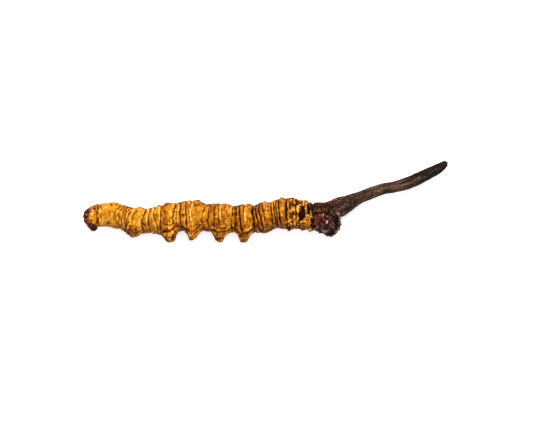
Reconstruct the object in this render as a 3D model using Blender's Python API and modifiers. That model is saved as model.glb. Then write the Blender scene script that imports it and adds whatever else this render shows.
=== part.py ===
# Dried cordyceps: a mummified larva that lies on its side, with the fungus's stalk grown from its head.
# Metres, +Z up. The table is Z = 0, the tail is at -X, the larva's back at +Y and its feet at -Y.
# The origin is the middle of the whole object's footprint, on the table.
# Lengths below are in millimetres, and MM turns them to metres where they are used.

import math

import bmesh
import bpy
import numpy as np
from mathutils import Matrix, Vector

MM = 0.001

# The larva's trunk. Places along it are distances from the tail tip.
TAIL_X = -31.94
AXIS_Z = 2.45
TRUNK_SIDES = 18
FOLD_DEPTH = 0.30
CROWN_RISE = 0.06
NECK_END = 40.1
NECK_STEP = 0.15
TAIL_PLACES = (0.0, 0.18, 0.35, 0.7, 1.1, 1.8)

# A ring of skin has one crown, or two with a level band between them where it is wide.
WIDE_RING = 0.95
ONE_CROWN = (0.5,)
TWO_CROWNS = (0.24, 0.76)

# Distance from the tail tip, the trunk's middle across the picture plane, and its radius there.
SPINE = (
    (0.0, -2.95, 0.30),
    (0.18, -2.95, 0.88),
    (0.35, -2.94, 1.14),
    (0.7, -2.90, 1.53),
    (1.1, -2.82, 1.76),
    (1.8, -2.60, 1.94),
    (2.5, -2.54, 2.05),
    (4.6, -2.47, 2.20),
    (6.7, -2.86, 2.20),
    (8.8, -3.30, 2.29),
    (10.9, -3.45, 2.18),
    (12.0, -3.39, 2.25),
    (13.6, -3.18, 2.58),
    (15.1, -3.00, 2.68),
    (16.9, -2.70, 2.62),
    (19.0, -2.60, 2.78),
    (20.1, -2.58, 2.73),
    (21.4, -2.82, 2.45),
    (23.9, -2.95, 2.62),
    (26.1, -3.18, 2.52),
    (28.8, -3.18, 2.66),
    (30.3, -2.95, 2.54),
    (32.4, -2.78, 2.68),
    (34.7, -2.16, 2.74),
    (36.6, -2.24, 2.77),
    (38.3, -2.40, 2.62),
    (39.6, -2.62, 2.50),
    (39.95, -2.66, 2.20),
    (40.1, -2.66, 1.60),
)

# Where one ring of skin meets the next, from tail to neck.
FOLDS = (
    2.55, 4.14, 5.54, 6.25, 6.78, 7.44, 8.24, 8.94, 10.82, 11.70, 12.44, 13.64, 16.10,
    16.98, 17.95, 18.96, 21.47, 22.26, 23.06, 23.94, 26.19, 26.75, 27.40, 28.25, 29.74,
    30.27, 30.76, 31.42, 32.82, 33.35, 33.79, 34.27, 35.55, 36.08, 37.10, 37.93, 38.90,
    39.65,
)

# Feet come in pairs, turned this far from the belly line to either side.
FOOT_SPLAY = math.radians(30)

# The two of a pair sit this far apart along the trunk, as in a living thing.
PAIR_STAGGER = 0.06

# Each is a distance from the tail tip and how much further out than its profile it sits.
PROLEGS = ((15.14, 0.10), (19.05, 0.30), (23.9, 0.15), (28.2, -0.08))
LEGS = ((36.1, 0.0), (38.2, -0.05), (39.4, 0.05))
CLASPER = (1.9, 0.0)

# Turned shapes, as (radius, distance from the trunk's middle), from the tip inwards.
PROLEG_PROFILE = (
    (0.0, 4.43), (0.40, 4.38), (0.66, 4.16), (0.84, 3.92), (1.02, 3.64), (1.40, 3.24), (1.78, 2.86),
    (1.95, 2.40), (1.70, 1.8), (0.0, 1.2),
)
LEG_PROFILE = (
    (0.0, 3.42), (0.20, 3.34), (0.36, 3.08), (0.46, 2.7), (0.52, 2.2), (0.0, 1.6),
)
CLASPER_PROFILE = (
    (0.0, 2.60), (0.40, 2.52), (0.62, 2.26), (0.72, 1.8), (0.0, 1.0),
)
TURN_STEPS = 10

# Rounded lumps are balls of this many subdivisions.
LUMP_DETAIL = 2

# Swellings of the belly with no feet: centre and half sizes.
BELLY_BULGES = (
    ((-23.23, -4.62, 2.45), (2.05, 1.76, 2.00)),
    ((-0.10, -4.22, 2.45), (1.60, 1.50, 2.05)),
)

# The head's two glossy lobes: centre and half sizes, both turned in the picture plane.
LOBE_TURN = math.radians(-30)
LOBE_DETAIL = 3
HEAD_LOBES = (
    ((9.62, -3.05, 3.95), (1.18, 1.38, 1.25)),
    ((10.86, -4.16, 3.85), (1.20, 1.50, 1.35)),
)

# The fungus's stalk: centre line and radius, from its root in the head to its tip.
STALK = (
    (12.1, -1.50, 2.60, 1.60),
    (13.1, -1.01, 2.68, 1.62),
    (14.2, -0.57, 2.76, 1.48),
    (15.2, -0.01, 2.84, 1.28),
    (16.3, 0.54, 2.92, 1.09),
    (18.4, 1.42, 3.02, 1.03),
    (20.5, 2.14, 3.04, 0.96),
    (22.6, 2.58, 3.00, 0.95),
    (24.7, 3.18, 2.92, 1.05),
    (26.8, 4.06, 2.82, 1.04),
    (28.95, 5.11, 2.70, 0.90),
    (30.7, 6.05, 2.58, 0.74),
    (31.4, 6.47, 2.54, 0.66),
    (31.75, 6.68, 2.51, 0.42),
    (31.92, 6.78, 2.50, 0.16),
)
STALK_STEP = 0.85
STALK_WRINKLES = 6
WRINKLE_DEPTH = 0.08
STALK_SIDES = 24

# Lumps of the crust that the stalk's root spreads over the head: centre and half sizes.
CRUST_LUMPS = (
    ((10.75, -2.9, 2.50), (2.45, 2.65, 2.35)),
    ((12.15, -4.1, 2.45), (1.15, 1.95, 2.00)),
    ((9.75, -1.5, 2.50), (1.50, 1.35, 2.15)),
    ((11.3, -1.2, 2.60), (1.70, 1.25, 1.90)),
    ((9.85, -4.1, 2.30), (1.50, 1.20, 1.85)),
    ((11.2, -4.9, 2.35), (1.30, 1.15, 1.65)),
)

# The crust is cut back from the trunk's end over these places, and from both pieces by the gap.
NECK_ROOM_PLACES = (37.5, 39.6, NECK_END + 0.25)
PIECE_GAP = 0.3

# Size and height of the unevenness of the skin and of the crust.
SKIN_LUMP_SIZE = 1.6
SKIN_LUMP_HEIGHT = 0.16
CRUST_GRAIN_SIZE = 0.75
CRUST_GRAIN_HEIGHT = 0.38

# The slab under the surface that the object lies on: length, width and depth.
TABLE_SIZE = (90, 40, 3)

# Linear colours.
SKIN_COLOUR = (0.55, 0.25, 0.045)
HEAD_COLOUR = (0.10, 0.012, 0.008)
STALK_COLOUR = (0.045, 0.030, 0.022)


def clear_scene():
    for thing in list(bpy.data.objects):
        bpy.data.objects.remove(thing)


def new_collection(name):
    made = bpy.data.collections.new(name)
    bpy.context.scene.collection.children.link(made)
    return made


def new_material(name, colour, roughness):
    material = bpy.data.materials.new(name)
    material.use_nodes = True
    shader = material.node_tree.nodes["Principled BSDF"]
    shader.inputs["Base Color"].default_value = (*colour, 1)
    shader.inputs["Roughness"].default_value = roughness
    shader.inputs["Metallic"].default_value = 0
    return material


def new_object(name, data, collection):
    made = bpy.data.objects.new(name, data)
    collection.objects.link(made)
    return made


def tube(name, points, collection, outline=None):
    # A tube along (x, y, z, radius) points in millimetres, round or with the given outline curve.
    curve = bpy.data.curves.new(name, "CURVE")
    curve.dimensions = "3D"
    curve.use_fill_caps = True
    if outline is None:
        curve.bevel_depth = MM
        curve.bevel_resolution = TRUNK_SIDES // 2 - 2
    else:
        curve.bevel_mode = "OBJECT"
        curve.bevel_object = outline
    spline = curve.splines.new("POLY")
    spline.points.add(len(points) - 1)
    for point, (x, y, z, radius) in zip(spline.points, points):
        point.co = (x * MM, y * MM, z * MM, 1)
        point.radius = radius
    return new_object(name, curve, collection)


def made_mesh(curve_object, collection):
    # The curve as a mesh object with welded caps, so that it can be cut and joined.
    graph = bpy.context.evaluated_depsgraph_get()
    mesh = bpy.data.meshes.new_from_object(curve_object.evaluated_get(graph))
    shape = bmesh.new()
    shape.from_mesh(mesh)
    bmesh.ops.remove_doubles(shape, verts=shape.verts, dist=1e-7)
    bmesh.ops.recalc_face_normals(shape, faces=shape.faces)
    shape.to_mesh(mesh)
    shape.free()
    name = curve_object.name
    world = curve_object.matrix_world.copy()
    bpy.data.objects.remove(curve_object)
    made = new_object(name, mesh, collection)
    made.matrix_world = world
    return made


def turned(name, profile):
    # A closed profile of (radius, distance) in millimetres, turned about its own Z axis.
    mesh = bpy.data.meshes.new(name)
    corners = [(radius * MM, 0, height * MM) for radius, height in profile]
    mesh.from_pydata(corners, [(i, i + 1) for i in range(len(corners) - 1)], [])
    return mesh


def add_screw(target):
    screw = target.modifiers.new("turn", "SCREW")
    screw.steps = screw.render_steps = TURN_STEPS
    screw.use_merge_vertices = True
    screw.merge_threshold = 1e-6


def ball(name, centre, half_sizes, turn, grow, detail, collection):
    # A ball stretched to half sizes, turned about Z, its sizes in millimetres baked into the mesh.
    shape = bmesh.new()
    bmesh.ops.create_icosphere(shape, subdivisions=detail, radius=1)
    sizes = Matrix.Diagonal([(half + grow) * MM for half in half_sizes]).to_4x4()
    bmesh.ops.transform(shape, matrix=Matrix.Rotation(turn, 4, "Z") @ sizes, verts=shape.verts)
    mesh = bpy.data.meshes.new(name)
    shape.to_mesh(mesh)
    shape.free()
    made = new_object(name, mesh, collection)
    made.location = Vector(centre) * MM
    return made


def helper(thing):
    thing.hide_render = True
    thing.display_type = "WIRE"
    return thing


def combine(target, others, operation):
    for other in others:
        boolean = target.modifiers.new(f"{operation} {other.name}", "BOOLEAN")
        boolean.operation = operation
        boolean.object = helper(other)


def roughen(target, size, height):
    clouds = bpy.data.textures.new(f"{target.name} lumps", "CLOUDS")
    clouds.noise_scale = size * MM
    clouds.noise_depth = 1
    lumps = target.modifiers.new("uneven surface", "DISPLACE")
    lumps.texture = clouds
    lumps.strength = height * MM


def spine_at(place):
    # The trunk's middle and radius at a distance from the tail tip.
    places, middles, radii = np.array(SPINE).T
    return float(np.interp(place, places, middles)), float(np.interp(place, places, radii))


def trunk_rings():
    # Each ring of skin rises from its fold to a crown and falls to the next fold.
    folds = np.array(FOLDS)
    rings = [(place, 0.0) for place in TAIL_PLACES]
    for start, end in zip(folds[:-1], folds[1:]):
        width = end - start
        crowns = ONE_CROWN if width < WIDE_RING else TWO_CROWNS
        rings.append((start, -FOLD_DEPTH))
        rings += [(start + width * share, CROWN_RISE) for share in crowns]
    rings += [(folds[-1], -FOLD_DEPTH), (NECK_END - NECK_STEP, 0.0), (NECK_END, 0.0)]
    points = []
    for place, rise in rings:
        middle, radius = spine_at(place)
        points.append((TAIL_X + place, middle, AXIS_Z, radius + rise))
    return points


def belly_pair(name, profile, seat, helpers):
    # A pair of turned lumps that point from the trunk's middle to the belly, one to each side.
    mesh = turned(name, profile)
    place, push = seat
    middle, _ = spine_at(place)
    pair = []
    for side in (-1, 1):
        lump = new_object(f"{name} {side}", mesh, helpers)
        add_screw(lump)
        down = Vector((0, -math.cos(FOOT_SPLAY), side * math.sin(FOOT_SPLAY)))
        lump.rotation_euler = down.to_track_quat("Z", "Y").to_euler()
        seat_x = TAIL_X + place + side * PAIR_STAGGER / 2
        lump.location = (Vector((seat_x, middle, AXIS_Z)) + down * push) * MM
        pair.append(lump)
    return pair


def table_cutter(helpers):
    # A slab under the table's surface, which flattens the side that the object lies on.
    shape = bmesh.new()
    bmesh.ops.create_cube(shape, size=1)
    sizes = Vector(TABLE_SIZE) * MM
    below = Matrix.Translation((0, 0, -sizes.z / 2))
    bmesh.ops.transform(shape, matrix=below @ Matrix.Diagonal(sizes).to_4x4(), verts=shape.verts)
    mesh = bpy.data.meshes.new("table")
    shape.to_mesh(mesh)
    shape.free()
    return new_object("table", mesh, helpers)


def make_larva(parts, helpers, table):
    body = made_mesh(tube("larva_body", trunk_rings(), parts), parts)
    roughen(body, SKIN_LUMP_SIZE, SKIN_LUMP_HEIGHT)
    lumps = []
    for number, seat in enumerate(PROLEGS):
        lumps += belly_pair(f"proleg {number}", PROLEG_PROFILE, seat, helpers)
    for number, (centre, sizes) in enumerate(BELLY_BULGES):
        lumps.append(ball(f"belly bulge {number}", centre, sizes, 0, 0, LUMP_DETAIL, helpers))
    for number, seat in enumerate(LEGS):
        lumps += belly_pair(f"leg {number}", LEG_PROFILE, seat, helpers)
    lumps += belly_pair("clasper", CLASPER_PROFILE, CLASPER, helpers)
    combine(body, lumps, "UNION")
    combine(body, [table], "DIFFERENCE")
    body.data.shade_smooth()
    body.data.materials.append(new_material("dried larva skin", SKIN_COLOUR, 0.5))
    return body


def head_lobes(name, grow, detail, collection):
    return [
        ball(f"{name} {number}", centre, sizes, LOBE_TURN, grow, detail, collection)
        for number, (centre, sizes) in enumerate(HEAD_LOBES)
    ]


def make_head(parts, helpers):
    first, second = head_lobes("head lobe", 0, LOBE_DETAIL, helpers)
    head = new_object("head_capsule", first.data, parts)
    head.location = first.location
    bpy.data.objects.remove(first)
    combine(head, [second], "UNION")
    head.data.shade_smooth()
    head.data.materials.append(new_material("glossy head shell", HEAD_COLOUR, 0.2))
    return head


def stalk_outline(helpers):
    # A ring with shallow lengthwise furrows, of unit radius in millimetres.
    curve = bpy.data.curves.new("stalk outline", "CURVE")
    spline = curve.splines.new("POLY")
    spline.points.add(STALK_SIDES - 1)
    for number, point in enumerate(spline.points):
        angle = 2 * math.pi * number / STALK_SIDES
        radius = 1 - WRINKLE_DEPTH * (1 - math.cos(STALK_WRINKLES * angle)) / 2
        point.co = (radius * math.cos(angle) * MM, radius * math.sin(angle) * MM, 0, 1)
    spline.use_cyclic_u = True
    return helper(new_object("stalk outline", curve, helpers))


def stalk_points():
    # Points at even steps along a smooth line through the stalk's own points.
    given = np.array(STALK)
    steps = np.linalg.norm(np.diff(given[:, :3], axis=0), axis=1)
    along = np.concatenate([[0], np.cumsum(steps)])
    even = np.linspace(0, along[-1], round(along[-1] / STALK_STEP) + 1)
    places = np.unique(np.concatenate([even, along[-3:]]))
    return [tuple(float(np.interp(p, along, column)) for column in given.T) for p in places]


def neck_room():
    # The end of the trunk grown by the gap, which keeps the crust clear of it.
    points = []
    for place in NECK_ROOM_PLACES:
        middle, radius = spine_at(place)
        points.append((TAIL_X + place, middle, AXIS_Z, radius + CROWN_RISE + SKIN_LUMP_HEIGHT + PIECE_GAP))
    return points


def make_stroma(parts, helpers, table):
    stroma = made_mesh(tube("stroma", stalk_points(), parts, stalk_outline(helpers)), parts)
    lumps = []
    for number, (centre, sizes) in enumerate(CRUST_LUMPS):
        lump = ball(f"crust lump {number}", centre, sizes, 0, 0, LUMP_DETAIL, helpers)
        roughen(lump, CRUST_GRAIN_SIZE, CRUST_GRAIN_HEIGHT)
        lumps.append(lump)
    combine(stroma, lumps, "UNION")
    neck = made_mesh(tube("neck room", neck_room(), helpers), helpers)
    rooms = head_lobes("head room", PIECE_GAP, LUMP_DETAIL, helpers)
    combine(stroma, rooms + [neck, table], "DIFFERENCE")
    stroma.data.shade_smooth()
    stroma.data.materials.append(new_material("dry fungus stalk", STALK_COLOUR, 0.8))
    return stroma


def main():
    clear_scene()
    parts = new_collection("dried cordyceps")
    helpers = new_collection("cutters and guides")
    table = table_cutter(helpers)
    make_larva(parts, helpers, table)
    make_head(parts, helpers)
    make_stroma(parts, helpers, table)


main()
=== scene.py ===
import bpy
import numpy as np
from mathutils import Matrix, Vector


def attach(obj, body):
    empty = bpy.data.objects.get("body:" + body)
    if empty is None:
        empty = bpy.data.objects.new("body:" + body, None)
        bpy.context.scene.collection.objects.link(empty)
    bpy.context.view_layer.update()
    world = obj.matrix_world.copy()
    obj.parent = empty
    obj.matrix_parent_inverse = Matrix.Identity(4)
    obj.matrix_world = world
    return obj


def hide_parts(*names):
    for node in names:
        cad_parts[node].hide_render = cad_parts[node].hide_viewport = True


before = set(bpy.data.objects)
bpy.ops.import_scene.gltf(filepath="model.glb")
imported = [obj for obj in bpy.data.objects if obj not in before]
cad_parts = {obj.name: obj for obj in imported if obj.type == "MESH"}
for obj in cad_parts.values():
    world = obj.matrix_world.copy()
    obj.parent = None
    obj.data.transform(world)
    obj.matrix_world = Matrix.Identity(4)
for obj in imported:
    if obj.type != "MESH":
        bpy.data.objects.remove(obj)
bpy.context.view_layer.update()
mm = 0.001  # one millimetre in metres


def toLinear(hexColour):
    # an sRGB hex colour as linear red, green, blue and alpha
    parts = [int(hexColour[i:i + 2], 16) / 255 for i in (1, 3, 5)]
    return tuple(p / 12.92 if p <= 0.04045 else ((p + 0.055) / 1.055) ** 2.4 for p in parts) + (1.0,)


def eased(t):
    # rises from 0 to 1 as t goes from 0 to 1, level at both ends
    t = np.clip(t, 0, 1)
    return t * t * (3 - 2 * t)


def hump(distance, width, power=2.0):
    # 1 where the distance is 0, and falls off on both sides over about the width
    return np.exp(-(np.abs(distance) / width) ** power)


def latticeNoise(points, size, seed):
    # random values from -1 to 1 at the corners of cubes of that size, blended smoothly in between
    values = np.random.default_rng(seed).uniform(-1, 1, 4096)
    cell = points / size + 512.0
    low = np.floor(cell).astype(np.int64)
    part = eased(cell - low)
    total = 0
    for corner in np.ndindex(2, 2, 2):
        share = np.prod(np.where(np.array(corner) == 1, part, 1 - part), axis=-1)
        where = low + np.array(corner)
        key = (where[..., 0] * 73856093) ^ (where[..., 1] * 19349663) ^ (where[..., 2] * 83492791)
        total = total + share * values[key & 4095]
    return total


def layeredNoise(points, size, seed, layers=3):
    # sums noise of half the size and half the height each time
    total = 0
    for layer in range(layers):
        total = total + latticeNoise(points, size / 2 ** layer, seed + layer) / 2 ** layer
    return total


def smoothLine(at, places, values):
    # a curve through (place, value) pairs whose slope at each is that between its neighbours
    places = np.asarray(places, float)
    values = np.asarray(values, float)
    slopes = np.gradient(values, places)
    slot = np.clip(np.searchsorted(places, at) - 1, 0, len(places) - 2)
    step = places[slot + 1] - places[slot]
    t = np.clip((at - places[slot]) / step, 0, 1)
    start = (1 + 2 * t) * (1 - t) ** 2 * values[slot] + t * (1 - t) ** 2 * step * slopes[slot]
    end = t * t * (3 - 2 * t) * values[slot + 1] + t * t * (t - 1) * step * slopes[slot + 1]
    return start + end


def normalsOf(points):
    # across both directions of a grid that wraps round, turned away from the middle of each ring
    along = np.gradient(points, axis=0)
    across = np.roll(points, -1, axis=1) - np.roll(points, 1, axis=1)
    normals = np.cross(along, across)
    normals /= np.linalg.norm(normals, axis=-1, keepdims=True) + 1e-9
    outward = points - points.mean(axis=(0, 1), keepdims=True)
    ringOutward = points - points.mean(axis=1, keepdims=True)
    facing = np.sum(normals * (ringOutward * 3 + outward * 0.1))
    return normals if facing > 0 else -normals


def raised(points, height):
    # the grid moved along its normals, with each end row drawn to one point
    moved = points + normalsOf(points) * height[..., None]
    moved[0] = moved[1].mean(axis=0)
    moved[-1] = moved[-2].mean(axis=0)
    moved[..., 2] = np.maximum(moved[..., 2], 0.0)  # nothing goes below the surface it lies on
    return moved


def gridPart(points, values):
    # points, faces and values of a closed grid: rings of quads, and a fan at each end
    rows, around = points.shape[:2]
    ring = np.arange((rows - 2) * around).reshape(rows - 2, around)
    rolled = np.roll(ring, -1, axis=1)
    quads = np.stack([ring[:-1], rolled[:-1], rolled[1:], ring[1:]], -1).reshape(-1, 4)
    ends = [np.full(around, ring.size), np.full(around, ring.size + 1)]
    fans = [np.stack([rolled[0], ring[0], ends[0]], -1), np.stack([ring[-1], rolled[-1], ends[1]], -1)]
    fans = np.vstack(fans)
    spots = np.vstack([points[1:-1].reshape(-1, 3), points[0].mean(axis=0), points[-1].mean(axis=0)])
    corners = spots[quads]
    facing = np.cross(corners[:, 2] - corners[:, 0], corners[:, 3] - corners[:, 1])
    if np.sum(facing * (corners.mean(axis=1) - spots.mean(axis=0))) < 0:
        quads, fans = quads[:, ::-1], fans[:, ::-1]
    flat = {}
    for name, value in values.items():
        value = np.broadcast_to(value, points.shape[:2] + np.shape(value)[2:])
        tail = (value.shape[2],) if value.ndim == 3 else ()
        body = value[1:-1].reshape((-1,) + tail)
        flat[name] = np.concatenate([body, value[:1].mean(axis=1), value[-1:].mean(axis=1)])
    return spots, [quads, fans], flat


def makePiece(name, parts, material, node):
    # one mesh from one or more parts, with their values as attributes
    spots, faces, start = [], [], 0
    for points, groups, _ in parts:
        spots.append(points)
        faces += [row for group in groups for row in (group + start).tolist()]
        start += len(points)
    mesh = bpy.data.meshes.new(name)
    mesh.from_pydata((np.vstack(spots) * mm).tolist(), [], faces)
    for key in parts[0][2]:
        value = np.concatenate([flat[key] for _, _, flat in parts]).astype(np.float32)
        kind, field = ("FLOAT_VECTOR", "vector") if value.ndim == 2 else ("FLOAT", "value")
        mesh.attributes.new(key, kind, "POINT").data.foreach_set(field, value.ravel())
    mesh.materials.append(material)
    mesh.shade_smooth()
    mesh.update()
    piece = bpy.data.objects.new(name, mesh)
    bpy.context.scene.collection.objects.link(piece)
    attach(piece, "root")
    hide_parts(node)
    print(name, "has", len(mesh.polygons), "faces")


def newMaterial(name, **inputs):
    # a material, its shader with these inputs, named with "_" for a space, and the call that links its nodes
    material = bpy.data.materials.new(name)
    material.use_nodes = True
    shader = material.node_tree.nodes["Principled BSDF"]
    for key, value in inputs.items():
        shader.inputs[key.replace("_", " ")].default_value = value
    return material, shader, material.node_tree.links.new


def addNode(material, kind, settings=None, **links):
    # adds a node, and sets or links its inputs by number, such as i0, or by name, with "_" for a space
    node = material.node_tree.nodes.new(kind)
    for key, value in (settings or {}).items():
        setattr(node, key, value)
    for key, value in links.items():
        numbered = key[0] == "i" and key[1:].isdigit()
        socket = node.inputs[int(key[1:]) if numbered else key.replace("_", " ")]
        if isinstance(value, bpy.types.NodeSocket):
            material.node_tree.links.new(value, socket)
        else:
            socket.default_value = value
    return node


def coordinates(material):
    # Object coordinates in metres, and the same in millimetres
    place = addNode(material, "ShaderNodeTexCoord").outputs["Object"]
    return place, addNode(material, "ShaderNodeMapping", None, Vector=place, Scale=(1 / mm,) * 3).outputs[0]


# settings of the nodes that are used most
timesPlus = {"operation": "MULTIPLY_ADD"}
clampedTimes = {"operation": "MULTIPLY", "use_clamp": True}
ofColours = {"data_type": "RGBA"}


def addPatterns(material, tone, patterns):
    # shifts a tone by how far each pattern is from its middle of 0.5, times its weight
    for pattern, weight in patterns:
        shift = addNode(
            material, "ShaderNodeMath", timesPlus, i0=pattern, i1=weight, i2=-weight / 2,
        ).outputs[0]
        tone = addNode(material, "ShaderNodeMath", {"operation": "ADD"}, i0=tone, i1=shift).outputs[0]
    return tone


def setRamp(node, stops):
    # colour stops as (place, hex colour)
    ramp = node.color_ramp
    while len(ramp.elements) < len(stops):
        ramp.elements.new(0.5)
    for element, (place, colour) in zip(ramp.elements, stops):
        element.position = place
        element.color = toLinear(colour)


print("building the camera and the light")

photoView = {
    "lookAt": (0.176, -2.156, 2.45),  # the picture's middle, as high as the larva's own
    "frameWidth": 93.8,  # what the picture's width takes in there
    "lens": 85.0,
    "sensor": 36.0,
}
camera = bpy.data.cameras.new("camera")
camera.lens = photoView["lens"]
camera.sensor_width = photoView["sensor"]
camera.clip_start = 0.01
cameraObject = bpy.data.objects.new("camera", camera)
away = photoView["frameWidth"] * photoView["lens"] / photoView["sensor"]
cameraObject.location = (np.array(photoView["lookAt"]) + (0, 0, away)) * mm
bpy.context.scene.collection.objects.link(cameraObject)
bpy.context.scene.camera = cameraObject
bpy.context.scene.view_settings.view_transform = "Standard"

studio = {
    # soft boxes: where each stands, its size and its power in watts
    "boxes": {
        "key light": ((40, 170, 270), (130, 210), 1.4),
        "left light": ((-300, -80, 190), (300, 300), 0.32),
        "right light": ((300, -120, 190), (300, 300), 0.32),
    },
    # the room: pale walls that show at the horizon, and a darker ceiling
    "room": "#fffaf3",
    "wallStrength": 0.55,
    "ceilingStrength": 0.12,
    "wallTop": 0.05,  # from 0 at the horizon to 1 overhead
    "ceilingStart": 0.42,
    "floor": "#f2f2f1",
    "floorGlow": 0.7,  # the card lies on a light table, which thins out the shadows
    "floorSize": 900,
    "floorDrop": 0.02,  # keeps the card clear of the side that lies on it
}


def softBox(name, place, size, power):
    # a rectangular lamp that faces the specimen
    light = bpy.data.lights.new(name, "AREA")
    light.shape = "RECTANGLE"
    light.size = size[0] * mm
    light.size_y = size[1] * mm
    light.energy = power
    box = bpy.data.objects.new(name, light)
    spot = np.array(place) * mm
    box.location = spot
    box.rotation_euler = Vector(-spot).to_track_quat("-Z", "Y").to_euler()
    bpy.context.scene.collection.objects.link(box)


for boxName, boxSettings in studio["boxes"].items():
    softBox(boxName, *boxSettings)
room = bpy.data.worlds.new("studio")
room.use_nodes = True
background = room.node_tree.nodes["Background"]
background.inputs["Color"].default_value = toLinear(studio["room"])
direction = addNode(room, "ShaderNodeTexCoord").outputs["Generated"]
upward = addNode(room, "ShaderNodeSeparateXYZ", None, Vector=direction).outputs["Z"]
strength = addNode(
    room, "ShaderNodeMapRange", None, Value=upward,
    From_Min=studio["wallTop"], From_Max=studio["ceilingStart"],
    To_Min=studio["wallStrength"], To_Max=studio["ceilingStrength"],
).outputs[0]
room.node_tree.links.new(strength, background.inputs["Strength"])
bpy.context.scene.world = room

floorMesh = bpy.data.meshes.new("floor")
half = studio["floorSize"] * mm / 2
floorCorners = [(-half, -half, 0), (half, -half, 0), (half, half, 0), (-half, half, 0)]
floorMesh.from_pydata(floorCorners, [], [(0, 1, 2, 3)])
floor = bpy.data.objects.new("floor", floorMesh)
bpy.context.scene.collection.objects.link(floor)
floor.location.z = -studio["floorDrop"] * mm
card, _, _ = newMaterial(
    "white card", Base_Color=toLinear(studio["floor"]), Roughness=0.9, Specular_IOR_Level=0.0,
    Emission_Color=toLinear("#ffffff"), Emission_Strength=studio["floorGlow"],
)
floorMesh.materials.append(card)

skinLook = {
    "tones": [
        (0.0, "#331704"), (0.2, "#6b390b"), (0.4, "#a05c10"), (0.6, "#c67a15"), (0.8, "#dc9420"),
        (0.92, "#e8a737"), (1.0, "#f3c262"),
    ],
    "grooveTones": [(0.0, "#92450a"), (0.45, "#5a2607"), (1.0, "#180903")],
    "hornTones": [(0.0, "#b8580f"), (0.5, "#7c300b"), (1.0, "#2c0d05")],
    "soilAndShadeColour": "#4f2c0e",
    # each pattern's size in millimetres, its detail and its roughness
    "blotches": (0.7, 4.0, 0.62),
    "specks": (0.3, 2.0, 0.5),
    "grain": (0.13, 3.0, 0.6),
    "wrinkleScale": (1000 / 0.22, 1000 / 1.1, 1000 / 1.1),  # wrinkles 0.22 mm apart that run on for 1.1 mm
    "weights": (1.5, -1.3, 0.7, 1.0),  # how far blotches, hollows, grain and wrinkles shift the tone; the hollows paint shade into grooves and light onto crests
    "bumpDepth": 0.04,
    "roughness": 0.2,
    "grainRoughness": 0.5,  # what the grain adds to it
    "specular": 0.045,
    "specularTint": "#ffe6c8",
}


def larvaSkin():
    # dried insect skin, drawn tight and waxy: amber in blotches, near black in the folds, partly its own
    # colour and partly painted shade, with a soft gloss
    material, shader, link = newMaterial(
        "dried larva skin",
        Specular_IOR_Level=skinLook["specular"], Specular_Tint=toLinear(skinLook["specularTint"]),
    )
    place, scaled = coordinates(material)
    long = skinLook["wrinkleScale"]
    drawn = addNode(material, "ShaderNodeMapping", None, Vector=place, Scale=long).outputs[0]
    tone, dark, horn, hollow, soilAndShade = [
        addNode(material, "ShaderNodeAttribute", {"attribute_name": name}).outputs["Fac"]
        for name in ("tone", "dark", "horn", "hollow", "soilAndShade")
    ]
    blotches, specks, grain = [
        addNode(
            material, "ShaderNodeTexNoise", None,
            Vector=scaled, Scale=1 / size, Detail=detail, Roughness=roughness,
        ).outputs["Fac"]
        for size, detail, roughness in (skinLook["blotches"], skinLook["specks"], skinLook["grain"])
    ]
    wrinkles = addNode(
        material, "ShaderNodeTexNoise", None,
        Vector=drawn, Scale=1.0, Detail=3.0, Roughness=0.65, Distortion=0.4,
    ).outputs["Fac"]
    shade = addPatterns(material, tone, zip((blotches, hollow, grain, wrinkles), skinLook["weights"]))
    ramp = addNode(material, "ShaderNodeValToRGB", None, Fac=shade)
    setRamp(ramp, skinLook["tones"])

    # over the amber come specks of soil, more of them towards the belly as painted shade, then the dark of
    # the folds (partly painted shade) and the horny places, both in patches
    speckled = addNode(
        material, "ShaderNodeMapRange", None, Value=specks, From_Min=0.5, From_Max=0.66,
    ).outputs[0]
    soiledAndShaded = addNode(material, "ShaderNodeMath", clampedTimes, i0=speckled, i1=soilAndShade).outputs[0]
    colour = addNode(
        material, "ShaderNodeMix", ofColours,
        i0=soiledAndShaded, i6=ramp.outputs[0], i7=toLinear(skinLook["soilAndShadeColour"]),
    ).outputs[2]
    patchy = addNode(material, "ShaderNodeMath", timesPlus, i0=specks, i1=1.2, i2=0.4).outputs[0]
    for amount, tones in ((dark, "grooveTones"), (horn, "hornTones")):
        share = addNode(material, "ShaderNodeMath", clampedTimes, i0=amount, i1=patchy).outputs[0]
        ramp = addNode(material, "ShaderNodeValToRGB", None, Fac=share)
        setRamp(ramp, skinLook[tones])
        colour = addNode(
            material, "ShaderNodeMix", ofColours, i0=share, i6=colour, i7=ramp.outputs[0],
        ).outputs[2]
    link(colour, shader.inputs["Base Color"])

    gloss = addNode(
        material, "ShaderNodeMath", timesPlus,
        i0=grain, i1=skinLook["grainRoughness"], i2=skinLook["roughness"],
    ).outputs[0]
    link(gloss, shader.inputs["Roughness"])
    creases = addNode(material, "ShaderNodeMath", {"operation": "ADD"}, i0=grain, i1=wrinkles).outputs[0]
    bump = addNode(
        material, "ShaderNodeBump", None, Strength=0.6, Distance=skinLook["bumpDepth"] * mm, Height=creases,
    )
    link(bump.outputs[0], shader.inputs["Normal"])
    return material


print("mixing the larva's skin")
skin = larvaSkin()

print("building the larva's trunk")

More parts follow.
